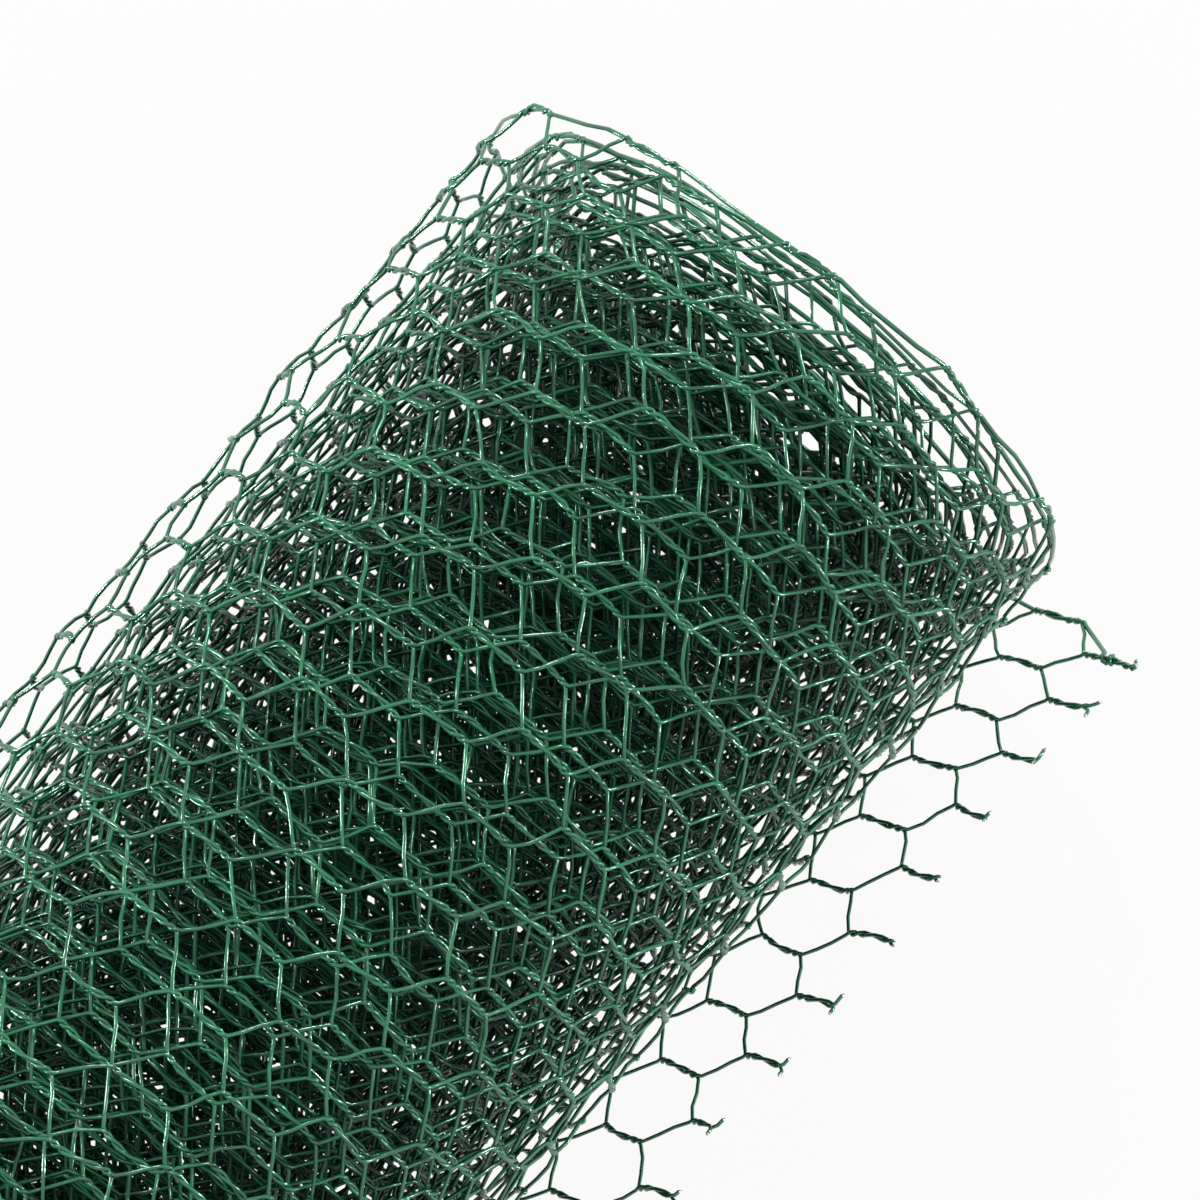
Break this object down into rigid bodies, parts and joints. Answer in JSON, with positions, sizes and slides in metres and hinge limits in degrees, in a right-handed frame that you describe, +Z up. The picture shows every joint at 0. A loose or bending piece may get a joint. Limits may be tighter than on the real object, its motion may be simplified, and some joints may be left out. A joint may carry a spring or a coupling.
{
  "type": "roll of chicken wire",
  "caption": "Roll of plastic-coated hexagonal wire netting lying on its side, wound tight round an open bore, with its outer turn sprung loose and its cut end curling up.",
  "frame": {"origin": "middle of the underside of the whole roll's box, on the floor", "axes": "+X along the roll, +Z up, and the cut end of the netting reaches towards -Y"},
  "size_m": [0.5, 0.2498, 0.2074],
  "materials": {
    "green_coated_wire": "glossy dark green PVC coating over galvanised steel wire"
  },
  "bodies": {
    "root": {"netting_roll": "green_coated_wire"}
  },
  "joints": []
}
